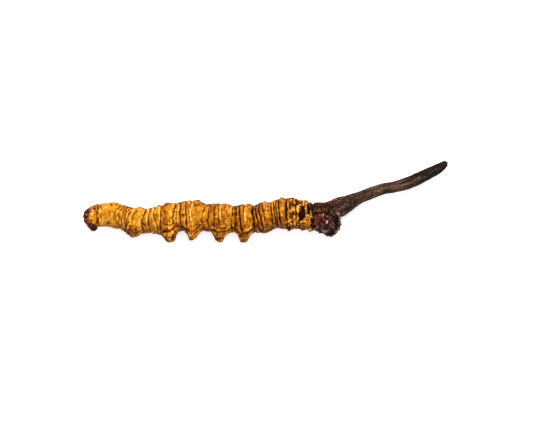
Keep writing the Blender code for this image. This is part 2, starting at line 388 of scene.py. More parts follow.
# Measures of the larva in millimetres, in the frame: x from the tail at -32, y from the belly to the back.
larva = {
    "axisHeight": 2.45,
    "rows": 560,
    "around": 168,
    # x, the back's y and the belly's y, without the feet
    "outline": [
        (-31.94, -2.88, -3.02), (-31.77, -2.07, -3.74), (-31.59, -1.8, -4.0), (-31.24, -1.42, -4.36),
        (-30.89, -1.12, -4.6), (-30.54, -0.89, -4.71), (-30.01, -0.64, -4.64), (-29.48, -0.52, -4.5),
        (-28.42, -0.29, -4.44), (-27.37, -0.22, -4.53), (-26.31, -0.27, -4.8), (-24.9, -0.57, -5.06),
        (-23.5, -1.01, -5.32), (-22.09, -1.1, -5.59), (-21.03, -1.28, -5.68), (-19.98, -1.01, -5.68),
        (-18.57, -0.62, -5.68), (-17.16, -0.31, -5.59), (-15.75, -0.22, -5.41), (-14.34, 0.08, -5.24),
        (-12.94, 0.22, -5.24), (-11.88, 0.17, -5.32), (-10.47, -0.36, -5.32), (-9.06, -0.31, -5.5),
        (-7.66, -0.45, -5.5), (-6.25, -0.57, -5.59), (-4.84, -0.57, -5.59), (-3.43, -0.5, -5.68),
        (-2.02, -0.48, -5.59), (-0.62, -0.16, -5.41), (0.79, 0.0, -5.15), (2.2, 0.42, -4.88),
        (3.26, 0.6, -4.88), (4.66, 0.6, -4.88), (6.07, 0.29, -4.88), (7.48, -0.03, -4.97),
        (8.18, -0.31, -4.97), (8.89, -0.84, -4.53), (9.59, -2.07, -3.48), (9.86, -2.77, -2.95),
    ],
    # each fold from the back to the belly, its depth, width and how dark it is, that darkness partly painted
    # shade in the groove
    "folds": [
        ([(-29.3, -0.66), (-29.48, -3.83)], 0.14, 0.14, 0.15),
        ([(-27.81, -0.31), (-27.98, -4.36)], 0.06, 0.2, 0.08),
        ([(-28.6, -0.66), (-28.69, -2.42)], 0.05, 0.12, 0.05),
        ([(-25.17, -0.57), (-26.21, -1.8), (-26.44, -2.74), (-25.96, -4.0), (-25.78, -4.88)],
         0.16, 0.13, 0.4),
        ([(-24.59, -0.66), (-25.61, -2.24), (-25.68, -3.3), (-25.43, -4.71)], 0.12, 0.11, 0.28),
        ([(-24.02, -0.84), (-24.9, -1.89), (-25.15, -2.95), (-25.01, -4.36)], 0.14, 0.11, 0.28),
        ([(-23.41, -1.01), (-24.34, -2.24), (-24.55, -3.3), (-24.46, -4.71)], 0.14, 0.11, 0.25),
        ([(-22.93, -1.19), (-23.81, -2.24), (-24.1, -3.12), (-24.3, -4.0)], 0.14, 0.1, 0.25),
        ([(-20.86, -1.26), (-21.33, -2.74), (-21.51, -3.83), (-21.38, -5.24)], 0.24, 0.14, 0.5),
        ([(-20.15, -1.1), (-20.4, -2.42), (-20.45, -4.0), (-20.15, -5.41)], 0.2, 0.12, 0.45),
        ([(-19.45, -1.01), (-19.52, -2.42), (-19.24, -3.65), (-18.83, -4.88)], 0.2, 0.12, 0.4),
        ([(-18.25, -0.75), (-18.22, -2.42), (-18.25, -4.0), (-18.39, -5.24)], 0.2, 0.13, 0.4),
        ([(-15.7, -0.31), (-16.05, -1.72), (-16.14, -2.95), (-15.84, -4.36)], 0.26, 0.14, 0.6),
        ([(-14.87, -0.1), (-14.87, -1.89), (-14.73, -3.65), (-14.52, -4.71)], 0.2, 0.12, 0.4),
        ([(-13.89, 0.04), (-13.89, -1.89), (-13.78, -3.3), (-13.71, -4.53)], 0.22, 0.12, 0.45),
        ([(-12.95, 0.13), (-13.22, -1.89), (-13.22, -2.95)], 0.14, 0.12, 0.15),
        ([(-10.3, -0.54), (-10.89, -2.24), (-11.12, -3.48), (-10.91, -4.88)], 0.24, 0.14, 0.5),
        ([(-9.59, -0.41), (-9.98, -2.07), (-10.01, -3.48), (-9.86, -5.06)], 0.2, 0.13, 0.5),
        ([(-8.82, -0.4), (-8.96, -1.89), (-9.06, -3.3), (-8.98, -4.36)], 0.22, 0.12, 0.6),
        ([(-8.01, -0.48), (-8.13, -2.24), (-8.11, -3.65)], 0.14, 0.12, 0.2),
        ([(-5.72, -0.66), (-5.83, -2.24), (-6.0, -3.65), (-5.9, -5.24)], 0.2, 0.15, 0.5),
        ([(-5.14, -0.66), (-5.23, -2.24), (-5.19, -3.83), (-5.1, -5.24)], 0.26, 0.18, 0.95),
        ([(-4.61, -0.66), (-4.61, -2.07), (-4.42, -3.48), (-4.14, -4.88)], 0.24, 0.15, 0.85),
        ([(-3.73, -0.59), (-3.84, -2.24), (-3.84, -3.65)], 0.14, 0.12, 0.2),
        ([(-2.13, -0.45), (-2.16, -2.07), (-2.09, -3.83), (-1.85, -5.24)], 0.28, 0.18, 1.2),
        ([(-1.69, -0.41), (-1.66, -2.07), (-1.36, -4.18), (-0.97, -5.24)], 0.24, 0.12, 1.2),
        ([(-1.16, -0.36), (-1.14, -1.72), (-0.76, -3.48), (-0.44, -4.88)], 0.24, 0.12, 1.2),
        ([(-0.62, -0.2), (-0.5, -1.6), (-0.2, -3.0)], 0.18, 0.1, 0.3),
        ([(0.45, 0.0), (0.5, -1.3)], 0.14, 0.1, 0.25),
        ([(0.86, 0.04), (0.97, -1.54), (1.21, -3.3), (1.32, -4.71)], 0.24, 0.11, 1.1),
        ([(1.37, 0.13), (1.5, -1.72), (1.74, -3.3), (1.85, -4.71)], 0.22, 0.1, 1.1),
        ([(1.83, 0.26), (1.9, -1.54), (2.08, -3.3), (2.2, -4.53)], 0.22, 0.1, 1.1),
        ([(2.27, 0.4), (2.34, -1.54), (2.48, -3.12), (2.73, -4.36)], 0.24, 0.11, 1.2),
        ([(3.61, 0.48), (3.59, -1.19), (3.56, -2.6), (3.75, -4.36)], 0.34, 0.17, 1.0),
        ([(4.14, 0.52), (4.14, -1.01)], 0.16, 0.1, 0.7),
        ([(5.3, 0.43), (5.35, -0.48), (5.26, -1.36), (5.46, -2.42), (5.37, -4.0)], 0.24, 0.13, 0.6),
        ([(5.97, 0.26), (6.0, -1.54), (5.9, -3.65), (6.07, -4.88)], 0.2, 0.13, 0.3),
        ([(6.95, 0.08), (6.69, -1.36), (6.86, -2.77)], 0.14, 0.12, 0.3),
        ([(7.55, -0.13), (7.53, -1.19), (7.76, -2.24), (7.94, -3.12)], 0.24, 0.16, 0.85),
        ([(8.25, -0.31), (8.29, -2.24), (8.08, -4.36)], 0.26, 0.16, 0.9),
    ],
    # raised pale lines, their paleness partly a painted highlight: course, height, width and how bright they
    # are
    "ridges": [
        ([(-25.38, -1.86), (-25.85, -3.09)], 0.05, 0.1, 0.8),
        ([(-22.97, -1.36), (-23.57, -2.77), (-23.5, -3.65), (-24.09, -4.5)], 0.1, 0.18, 1.1),
        ([(-21.1, -1.36), (-21.45, -2.77)], 0.03, 0.12, 0.3),
        ([(-20.47, -1.54), (-20.75, -3.48)], 0.06, 0.1, 0.8),
        ([(-19.76, -1.36), (-19.69, -2.77), (-19.1, -4.44)], 0.06, 0.1, 0.9),
        ([(-18.46, -0.84), (-18.5, -2.24), (-18.43, -3.3)], 0.06, 0.12, 0.9),
        ([(-15.19, -0.48), (-15.22, -3.65)], 0.05, 0.1, 0.7),
        ([(-14.15, -0.31), (-14.17, -2.07)], 0.04, 0.1, 0.5),
        ([(-12.9, -0.75), (-13.15, -2.07), (-12.9, -3.21)], 0.06, 0.14, 1.0),
        ([(-10.42, -0.75), (-11.04, -3.3)], 0.05, 0.13, 0.8),
        ([(-7.92, -0.66), (-7.96, -3.12)], 0.06, 0.13, 1.0),
        ([(-5.9, -0.84), (-6.16, -2.24)], 0.03, 0.12, 0.5),
        ([(-3.63, -0.84), (-3.68, -3.83)], 0.06, 0.13, 1.0),
        ([(3.08, -0.66), (2.83, -2.42)], 0.04, 0.14, 0.8),
        ([(3.83, 0.2), (3.93, -0.6)], 0.06, 0.09, 0.7),
        ([(5.76, -0.92), (5.65, -1.89)], 0.07, 0.13, 1.0),
        ([(6.53, 0.22), (7.06, -0.92), (7.13, -1.8), (7.66, -2.51), (7.83, -3.3)], 0.09, 0.1, 0.5),
        ([(8.04, -0.66), (8.01, -2.24)], 0.07, 0.1, 0.6),
    ],
    # dark warts that carried a bristle: x, y and size
    "warts": [
        (-29.36, -3.65, 0.3), (-28.83, -1.01, 0.3), (-26.96, -0.7, 0.28), (-27.54, -3.72, 0.3),
        (-22.51, -1.77, 0.32), (-22.62, -4.94, 0.34), (-21.35, -3.9, 0.28), (-20.94, -4.18, 0.25),
        (-19.38, -2.24, 0.22), (-19.22, -3.12, 0.22), (-17.78, -1.1, 0.26), (-17.6, -3.21, 0.26),
        (-14.29, -2.38, 0.36), (-12.09, -0.75, 0.32), (-12.23, -2.95, 0.24), (-11.97, -4.09, 0.26),
        (-10.21, -3.3, 0.32), (-10.82, -3.48, 0.16), (-9.94, -2.24, 0.25), (-7.02, -1.05, 0.28),
        (-7.09, -4.71, 0.34), (-7.57, -2.77, 0.2), (-7.22, -3.39, 0.22), (-2.78, -1.36, 0.28),
        (-3.64, -4.36, 0.34), (4.66, -0.66, 0.4), (4.66, -2.24, 0.45), (-2.82, -2.95, 0.2),
        (0.09, -3.65, 0.2), (0.44, -1.01, 0.2),
    ],
    # warts along the back: x and height
    "backWarts": [
        (-29.74, 0.1), (-29.0, 0.1), (-26.54, 0.2), (-21.96, 0.14), (-17.25, 0.14), (-11.74, 0.2),
        (-8.36, 0.12), (-7.0, 0.16), (-4.05, 0.14), (-2.95, 0.18), (-1.0, 0.18), (-0.18, 0.24), (1.85, 0.12),
        (2.7, 0.26), (5.0, 0.14), (7.2, 0.14),
    ],
    # creases of the feet and belly: course, depth, width and how dark they are, that darkness partly painted
    # shade
    "creases": [
        ([(-18.3, -5.6), (-16.8, -5.25), (-15.75, -4.55)], 0.16, 0.12, 0.6),
        ([(-17.5, -4.15), (-16.6, -4.2), (-15.9, -3.85)], 0.12, 0.11, 0.45),
        ([(-17.8, -5.3), (-16.98, -5.1)], 0.14, 0.15, 1.1),
        ([(-17.5, -6.2), (-16.7, -6.35), (-16.0, -6.0)], 0.1, 0.1, 0.5),
        # painted shade on the right flank of a foot
        ([(-15.95, -5.6), (-15.98, -6.2), (-16.3, -6.75)], 0.1, 0.13, 0.95),
        ([(-14.7, -4.55), (-14.1, -4.8), (-13.3, -5.2), (-12.7, -5.3), (-12.0, -4.9), (-11.4, -4.25)],
         0.2, 0.13, 0.75),
        ([(-14.0, -5.4), (-13.3, -5.7), (-12.6, -5.75), (-11.9, -5.35)], 0.12, 0.11, 0.5),
        ([(-13.6, -6.0), (-12.9, -6.2), (-12.2, -6.0)], 0.1, 0.1, 0.45),
        ([(-13.2, -6.64), (-12.5, -6.64)], 0.05, 0.12, 1.1),
        ([(-9.42, -4.95), (-8.6, -5.35), (-7.9, -5.45), (-6.6, -5.15), (-5.6, -4.6)], 0.2, 0.13, 0.75),
        ([(-8.8, -5.85), (-8.0, -6.05), (-7.2, -5.85)], 0.12, 0.11, 0.5),
        ([(-8.7, -6.4), (-8.0, -6.55), (-7.4, -6.4)], 0.08, 0.1, 0.4),
        ([(-5.5, -5.0), (-4.7, -5.5), (-3.9, -5.65), (-3.1, -5.5), (-2.3, -4.95)], 0.2, 0.14, 0.9),
        ([(-4.6, -6.1), (-3.9, -6.25), (-3.2, -6.05)], 0.1, 0.1, 0.45),
        ([(-23.14, -5.55), (-22.6, -5.55), (-21.91, -5.3)], 0.14, 0.12, 0.8),
        ([(-1.67, -4.18), (-1.14, -5.06), (-0.3, -5.35), (0.6, -5.0), (1.1, -4.6)], 0.14, 0.12, 0.7),
        ([(-9.42, -4.18), (-8.36, -4.7), (-6.95, -4.8)], 0.1, 0.12, 0.4),
        ([(8.0, -4.4), (8.9, -4.9), (9.6, -4.7)], 0.14, 0.14, 0.9),
        ([(-31.6, -3.0), (-31.2, -3.9), (-30.6, -4.6)], 0.08, 0.12, 1.0),
        ([(-30.1, -4.85), (-29.75, -4.75)], 0.04, 0.16, 1.2),
    ],
    # the belly's swellings: x, half length, height and half the angle they take round it
    "swellings": [(-23.3, 1.3, 1.08, 65), (-18.2, 0.9, 0.35, 55), (-0.1, 1.1, 0.35, 60)],
    # black and brown stains: x, y, half width, half height and how dark
    "stains": [
        (6.35, -2.4, 0.5, 0.9, 1.3), (6.45, -1.3, 0.32, 0.75, 1.2), (5.6, -0.15, 0.35, 0.5, 0.9),
        (6.3, -0.25, 0.3, 0.35, 0.7), (7.5, -1.36, 0.3, 1.1, 1.4), (-2.35, -1.8, 0.26, 0.4, 0.9),
        (-29.3, -3.3, 0.22, 0.45, 0.7), (-29.75, -4.6, 0.28, 0.5, 1.2), (4.93, -0.7, 0.75, 0.32, 1.0),
        (4.93, -2.1, 0.5, 0.34, 0.6), (4.3, -1.0, 0.25, 0.6, 0.7), (8.2, -0.9, 0.5, 1.0, 0.8),
        (5.9, -3.4, 0.22, 0.3, 0.6), (5.95, -4.6, 0.3, 0.3, 0.9), (4.2, -4.75, 0.25, 0.25, 0.8),
    ],
    # how pale the skin is along the larva, as (x, tone)
    "tones": [
        (-31.94, 0.3), (-30.89, 0.5), (-30.01, 0.76), (-29.3, 0.6), (-28.95, 0.88), (-26.66, 0.89),
        (-26.14, 0.62), (-23.5, 0.66), (-23.14, 0.8), (-21.56, 0.83), (-21.21, 0.58), (-20.5, 0.6),
        (-19.8, 0.6), (-18.57, 0.68), (-18.22, 0.44), (-17.34, 0.44), (-16.81, 0.73), (-16.1, 0.74),
        (-15.58, 0.52), (-13.29, 0.6), (-12.76, 0.68), (-11.18, 0.64), (-10.65, 0.5), (-8.18, 0.49),
        (-7.66, 0.63), (-6.07, 0.62), (-5.54, 0.43), (-3.78, 0.43), (-3.43, 0.65), (-2.55, 0.61),
        (-2.02, 0.36), (-0.62, 0.42), (-0.26, 0.58), (0.79, 0.52), (1.32, 0.4), (2.38, 0.42),
        (2.55, 0.5), (3.43, 0.5), (3.78, 0.56), (5.02, 0.66), (5.9, 0.58), (8.01, 0.66), (8.54, 0.3),
    ],
    # the horny plate round the tail, and how far it reaches from its line
    "tailPlate": [(-31.33, -1.8), (-31.5, -2.6), (-31.25, -3.4), (-30.7, -4.1), (-30.25, -4.7)],
    "tailPlateReach": 0.62,
    # unevenness: where it is, its height, the size of its lumps, its seed and its layers
    "unevenness": [
        ("neck", 0.13, 0.75, 51, 3), ("neck", 0.06, 0.26, 57, 2), ("rump", 0.15, 0.5, 61, 3),
        ("low", 0.07, 0.55, 65, 3), ("all", 0.026, 0.26, 81, 2),
    ],
    # where the neck begins, where the tail does, and from where on the folds run unbroken
    "neckStart": 3.3,
    "tailStart": -29.6,
    "firmStart": -11.0,
    "crustStart": 8.15,  # from here the skin is black, under the fungus's crust
}
feet = {
    "splay": 30.0,
    # x of each pair, how far its sole is from the larva's middle, and its stretch to the tail and to the head
    "pairs": [
        (-16.65, 4.76, 1.12, 0.82), (-12.8, 4.87, 0.95, 0.95), (-8.04, 4.78, 1.0, 0.98),
        (-3.76, 4.58, 1.0, 0.86),
    ],
    # distance from the foot's line, and the share of its height there
    "profile": [
        (0, 1.0), (0.28, 0.99), (0.48, 0.95), (0.63, 0.86), (0.75, 0.75), (0.86, 0.63), (1.0, 0.5),
        (1.13, 0.39), (1.35, 0.24), (1.65, 0.11), (2.0, 0.03), (2.3, 0.0),
    ],
    # x, half length and height of the dark leg stubs behind the head
    "legs": [(4.1, 0.4, 0.4), (6.4, 0.42, 0.3), (7.9, 0.5, 0.42)],
    "claspers": (-30.12, 0.62, 0.48),  # the same of the pair at the tail
}


def alongLarva(x):
    # the middle and the radius of the trunk at x
    places, back, belly = np.array(larva["outline"]).T
    top = smoothLine(x, places, back)
    bottom = smoothLine(x, places, belly)
    return (top + bottom) / 2, np.maximum((top - bottom) / 2, 0.0)


def distanceToLine(x, y, line):
    # shortest distance in the picture's plane from each point to a line of straight stretches
    nearest = np.full(x.shape, 1e9)
    for (ax, ay), (bx, by) in zip(line[:-1], line[1:]):
        dx, dy = bx - ax, by - ay
        t = np.clip(((x - ax) * dx + (y - ay) * dy) / (dx * dx + dy * dy), 0, 1)
        nearest = np.minimum(nearest, np.hypot(x - ax - t * dx, y - ay - t * dy))
    return nearest


def acrossFold(x, y, line, fadeOver):
    # signed distance along x from a line between back and belly, and how that fades past its ends
    lineX, lineY = np.array(line)[::-1].T
    offset = x - np.interp(y, lineY, lineX)
    left = eased((lineY[-1] + fadeOver - y) / fadeOver) * eased((y - lineY[0] + fadeOver) / fadeOver)
    return offset, left


def hollowness(height, reach):
    # how far each point lies under the mean of its surroundings: 0 on a crest, 0.5 level, 1 in a groove; the
    # materials paint shade into grooves and light onto crests from it
    around = np.zeros_like(height)
    rows = len(height)
    steps = range(-reach, reach + 1)
    for step in steps:
        around += height[np.clip(np.arange(rows) + step, 0, rows - 1)]
    around /= len(steps)
    level = sum(np.roll(around, step, axis=1) for step in steps) / len(steps)
    fullDepth = 0.22  # the difference, in millimetres, between a crest and a groove
    return np.clip(0.5 + (level - height) / fullDepth, 0, 1)


def trunkRings():
    # rings of the outline's radius round the trunk's middle, at even steps along the outline
    fineX = np.linspace(larva["outline"][0][0], larva["outline"][-1][0], 6000)
    _, fineRadius = alongLarva(fineX)
    fineRadius[[0, -1]] = 0
    length = np.concatenate([[0], np.cumsum(np.hypot(np.diff(fineX), np.diff(fineRadius)))])
    even = np.linspace(0, length[-1], larva["rows"])
    x = np.interp(even, length, fineX)[:, None]
    middle, _ = alongLarva(x)
    radius = np.interp(even, length, fineRadius)[:, None]
    # 0 on the back, a quarter of a turn at the top
    angle = np.linspace(0, 2 * np.pi, larva["around"], endpoint=False)[None, :]
    y, z = middle + radius * np.cos(angle), larva["axisHeight"] + radius * np.sin(angle)
    return np.stack([x + 0 * angle, y, z], -1), middle, radius, angle


def trunkForm(spots, fromBelly):
    # the large forms as one height: each foot follows a profile over the distance from its line, and the leg
    # stubs, claspers and swellings are humps
    height = 0.05 * layeredNoise(spots, 1.4, 31)
    footShare, sole, legs, swollen = [0 * height for _ in range(4)]
    away, share = np.array(feet["profile"]).T
    for footX, reach, tailward, headward in feet["pairs"]:
        _, size = alongLarva(np.array([footX]))
        along = spots[..., 0] - footX
        along = along / np.where(along < 0, tailward, headward)
        across = np.radians(fromBelly - feet["splay"]) * (size[0] + 0.9)
        fromLine = np.hypot(along, across) * (1 + 0.1 * layeredNoise(spots, 1.1, 101))
        one = np.interp(fromLine, away, share)
        height += (reach - size[0]) * one
        footShare = np.maximum(footShare, one)
        sole = np.maximum(sole, hump(fromLine - 0.2, 0.22))
    for legX, halfLength, rise in feet["legs"]:
        leg = hump(np.hypot((spots[..., 0] - legX) / halfLength, (fromBelly - 16) / 15), 1.0, 2.4)
        height += rise * leg
        legs += leg
    claspX, halfLength, rise = feet["claspers"]
    clasper = hump(np.hypot((spots[..., 0] - claspX) / halfLength, (fromBelly - 22) / 34), 1.0, 6)
    height += rise * clasper
    for swellX, halfLength, rise, spread in larva["swellings"]:
        swell = hump(spots[..., 0] - swellX, halfLength) * hump(fromBelly, spread)
        height += rise * swell
        swollen += swell
    return height, {"foot": footShare, "sole": sole, "leg": legs, "clasper": clasper, "swollen": swollen}


def trunkZones(spots, middle, radius, angle):
    # x and y with a waver, two patterns of wear, and how far each point belongs to each stretch or side
    x, y = spots[..., 0], spots[..., 1]
    return {
        "x": x + 0.09 * layeredNoise(spots, 1.1, 11) + 0.05 * latticeNoise(spots, 0.4, 17),
        "y": y + 0.08 * latticeNoise(spots, 0.9, 23),
        "patchy": 0.75 + 0.6 * layeredNoise(spots, 0.7, 41),
        "broken": 0.7 + 0.85 * layeredNoise(spots, 0.4, 43),
        "low": eased((middle - y - radius * 0.3) / (radius * 0.7 + 0.01)),
        "back": eased((np.cos(angle) - 0.7) / 0.3),
        "neck": eased((x - larva["neckStart"]) / 0.5),
        "tail": eased((larva["tailStart"] - x) / 0.5),
        "firm": eased((x - larva["firmStart"]) / 4),
        "all": 1.0,
    }


def trunkLines(zone, foot):
    # height, dark and pale of the folds, ridges and creases: humps over the distance from their lines, worn
    # by the patterns; the folds and ridges fade past their ends
    x, y, patchy, broken, firm = [zone[name] for name in ("x", "y", "patchy", "broken", "firm")]
    height, dark, pale = 0 * x, 0 * x, 0 * x
    foldDarkSpared = np.maximum(0.42 * zone["back"], 0.5 * zone["low"])
    clearOfFeet = 1 - eased((foot - 0.3) / 0.3)
    for line, depth, width, darkness in larva["folds"]:
        offset, left = acrossFold(x, y, line, 1.3)
        _, inside = acrossFold(x, y, line, 0.6)
        cut = depth * (1 + 0.25 * zone["back"]) * hump(offset, width * 1.35, 1.25)
        height -= cut * left * clearOfFeet * np.clip(patchy + 0.15, 0.35, 1.2)
        # the folds' darkness: partly their own colour, partly painted shade in the groove
        soilAndShade = 1.15 * darkness * hump(offset, width * 1.2, 1.8) * (1 - foldDarkSpared)
        dark += soilAndShade * left * clearOfFeet * inside * np.clip(patchy + 0.25 * firm, 0.1 + 0.45 * firm, 1.3)
    for line, rise, width, brightness in larva["ridges"]:
        offset, left = acrossFold(x, y, line, 0.4)
        height += rise * hump(offset, width) * left * np.clip(patchy + 0.3, 0.3, 1.4)
        pale += brightness * hump(offset, width * 1.2) * left * np.clip(broken + 0.1, 0.15, 1.2)
    for line, depth, width, darkness in larva["creases"]:
        away = distanceToLine(x, y, line)
        height -= depth * hump(away, width * 1.5, 1.3) * np.clip(patchy + 0.2, 0.5, 1.2)
        dark += darkness * hump(away, width * 1.25) * np.clip(broken + 0.25, 0.2, 1.3)
        pale += 0.5 * hump(away - width * 2.3, width * 0.8) * np.clip(broken, 0, 1)  # the lips beside it, paler as a painted highlight
    return height, dark, pale


def trunkWarts(spots, angle):
    # height and horn of the warts: low mounds with a pit, and higher ones without it along the back
    height, horn = 0 * spots[..., 0], 0 * spots[..., 0]
    for wartX, wartY, size in larva["warts"]:
        away = np.hypot(spots[..., 0] - wartX, spots[..., 1] - wartY)
        height += 0.07 * hump(away, size * 1.2) - 0.05 * hump(away, size * 0.4)
        horn += 1.05 * hump(away, size * 0.95)
    for wartX, rise in larva["backWarts"]:
        away = np.hypot(spots[..., 0] - wartX, (spots[..., 2] - larva["axisHeight"]) / 2.2)
        height += 0.85 * rise * hump(away, 0.4) * (np.cos(angle) > 0)
    return height, horn


def trunkSurface():
    # the rings moved out along their normals by the large forms, and then by all the fine relief together
    spots, middle, radius, angle = trunkRings()
    fromBelly = np.abs((np.degrees(angle) % 360) - 180)
    form, parts = trunkForm(spots, fromBelly)
    ends = (np.sin(np.linspace(0, np.pi, larva["rows"])) > 0.004)[:, None]  # leaves the poles where they are
    spots = raised(spots, form * ends)
    zone = trunkZones(spots, middle, radius, angle)
    low, back, neck, tail, patchy = [zone[name] for name in ("low", "back", "neck", "tail", "patchy")]
    zone["rump"] = tail * (1 - 0.7 * parts["clasper"])

    lineHeight, dark, pale = trunkLines(zone, parts["foot"])
    wartHeight, horn = trunkWarts(spots, angle)
    height = lineHeight + wartHeight
    for place, rise, size, seed, layers in larva["unevenness"]:
        height += zone[place] * rise * layeredNoise(spots, size, seed, layers)
    height += neck * 0.11 * np.abs(layeredNoise(spots, 0.5, 55))
    drawn = np.stack([spots[..., 0] / 0.2, spots[..., 1] / 0.9, spots[..., 2] / 0.9], -1)
    height += 0.035 * layeredNoise(drawn, 1.0, 71, 2)  # short wrinkles that run round the trunk
    plate = hump(distanceToLine(zone["x"], zone["y"], larva["tailPlate"]), larva["tailPlateReach"], 5)
    plate = plate * eased(1.1 + 0.9 * layeredNoise(spots, 0.45, 83))
    height += plate * (0.1 + 0.12 * layeredNoise(spots, 0.4, 85))
    ragged = 0.35 * layeredNoise(spots, 0.4, 87)
    for stainX, stainY, halfX, halfY, depth in larva["stains"]:
        away = np.hypot((zone["x"] - stainX) / halfX, (zone["y"] - stainY) / halfY)
        stain = depth * eased((1.25 - away - ragged) / 0.5)
        dark += stain
        height -= 0.07 * stain
    horn += neck * 0.75 * eased(1.6 * layeredNoise(spots, 0.42, 107) - 0.15) * (1 - eased(dark * 1.6))
    dark += 1.2 * eased((zone["x"] - larva["crustStart"]) / 0.4)
    dark += 0.6 * parts["leg"] * np.clip(patchy + 0.2, 0.3, 1.2)
    # painted shade in the hollows of the belly between the feet
    dark += 0.3 * low * (1 - parts["foot"]) * eased(patchy * 1.5 - 1.2) * eased((spots[..., 0] + 20) / 3)

    # paler on the ridges and the soles, darker towards the edges and in the dark, and mottled
    tone = np.interp(spots[..., 0], *np.array(larva["tones"]).T) - 0.1
    # the darkening towards the back and the belly is partly the larva's own colour and partly painted shade
    # of the edges turned from the key light
    tone = tone + 0.42 * pale - 0.2 * low - 0.2 * back - 0.18 * parts["swollen"] + 0.1 * parts["sole"]
    # on the neck, the fine mottling's pale flecks are partly painted highlights on the lumps
    tone = tone + 0.16 * layeredNoise(spots, 1.3, 91) + neck * 0.75 * layeredNoise(spots, 0.3, 95)
    tone = tone + tail * (0.15 + 0.45 * layeredNoise(spots, 0.4, 97)) - 0.3 * neck * np.clip(dark, 0, 1)
    values = {
        "tone": tone,
        "dark": np.clip(dark, 0, 1.3),
        # soil specks, with more of them towards the belly as painted shade
        "soilAndShade": np.clip(0.25 + 0.4 * low + 0.1 * neck + 0.25 * layeredNoise(spots, 2.0, 99), 0, 1),
        "horn": np.clip(horn + plate + 0.8 * parts["clasper"], 0, 1),
        "hollow": hollowness(height, 3),
    }
    return gridPart(raised(spots, height * ends), values)


makePiece("larvaTrunk", [trunkSurface()], skin, "larva_body")

print("building the head")


def turned(points, degrees):
    # the points turned about the upright line
    turn = np.radians(degrees)
    x = points[..., 0] * np.cos(turn) - points[..., 1] * np.sin(turn)
    y = points[..., 0] * np.sin(turn) + points[..., 1] * np.cos(turn)
    return np.stack([x, y, points[..., 2]], -1)


def ball(centre, halfSizes, turn, rows, around):
    # a sphere stretched to its half sizes and turned about the upright line
    polar = np.linspace(0, np.pi, rows)[:, None]
    angle = np.linspace(0, 2 * np.pi, around, endpoint=False)[None, :]
    flat = np.sin(polar)
    unit = np.stack([flat * np.cos(angle), flat * np.sin(angle), np.cos(polar) + 0 * angle], -1)
    return turned(unit * np.array(halfSizes), turn) + np.array(centre)


head = {
    "turn": -30.0,
    # each lobe's centre, its half sizes, how uneven it is and how mottled
    "lobes": [
        ((9.6, -3.05, 3.7), (1.45, 1.62, 1.34), 0.05, 1.0),
        ((10.68, -4.02, 3.66), (1.4, 1.52, 1.46), 0.03, 0.12),
    ],
    "seam": [(9.78, -1.9), (9.7, -2.7), (9.3, -3.3)],  # a shallow furrow over the first lobe
    "seamDepth": 0.12,
    "seamWidth": 0.22,
    "rows": 90,
    "around": 120,
    "deepRed": "#330805",
    "rust": "#7a301a",
    "darkBelow": "#260b06",
    "mottlePerMm": 2.6,  # mottles of about 0.4 mm
    "roughness": 0.11,
    "darkBelowRoughness": 0.4,  # what the darker lower part adds to it
    "specular": 0.42,
    "bumpDepth": 0.04,
}


def headShell():
    # hard insect shell, smooth and glossy: near black red, with rusty mottling, mostly on the first lobe
    material, shader, link = newMaterial("polished horny shell", Specular_IOR_Level=head["specular"])
    _, scaled = coordinates(material)
    mottle, darkBelow = [
        addNode(material, "ShaderNodeAttribute", {"attribute_name": name}).outputs["Fac"]
        for name in ("mottle", "darkBelow")
    ]
    blotches = addNode(
        material, "ShaderNodeTexNoise", None,
        Vector=scaled, Scale=head["mottlePerMm"], Detail=3.0, Roughness=0.6,
    ).outputs["Fac"]
    sharp = addNode(
        material, "ShaderNodeMapRange", None, Value=blotches, From_Min=0.5, From_Max=0.6,
    ).outputs[0]
    share = addNode(material, "ShaderNodeMath", {"operation": "MULTIPLY"}, i0=sharp, i1=mottle).outputs[0]
    colour = toLinear(head["deepRed"])
    for amount, over in ((share, head["rust"]), (darkBelow, head["darkBelow"])):
        colour = addNode(
            material, "ShaderNodeMix", ofColours, i0=amount, i6=colour, i7=toLinear(over),
        ).outputs[2]
    link(colour, shader.inputs["Base Color"])
    rough = addNode(
        material, "ShaderNodeMath", timesPlus, i0=darkBelow, i1=head["darkBelowRoughness"], i2=head["roughness"],
    ).outputs[0]
    link(rough, shader.inputs["Roughness"])
    bump = addNode(
        material, "ShaderNodeBump", None, Strength=0.3, Distance=head["bumpDepth"] * mm, Height=blotches,
    )
    link(bump.outputs[0], shader.inputs["Normal"])
    return material


lobeParts = []
for number, (centre, halfSizes, unevenness, mottling) in enumerate(head["lobes"]):
    spots = ball(centre, halfSizes, head["turn"], head["rows"], head["around"])
    height = unevenness * layeredNoise(spots, 0.8, 400 + number)
    fromSeam = distanceToLine(spots[..., 0], spots[..., 1], head["seam"])
    height -= head["seamDepth"] * hump(fromSeam, head["seamWidth"])
    height[[0, -1]] = 0
    # the lobe is darker and rougher below its middle, with an uneven edge
    upward = (spots[..., 2] - centre[2]) / halfSizes[2] + 0.12 * layeredNoise(spots, 0.5, 410 + number)
    values = {"mottle": np.full(height.shape, mottling), "darkBelow": 1 - eased((upward - 0.05) / 0.2)}
    lobeParts.append(gridPart(raised(spots, height), values))
makePiece("headLobes", lobeParts, headShell(), "head_capsule")

print("building the crust and the stalk")

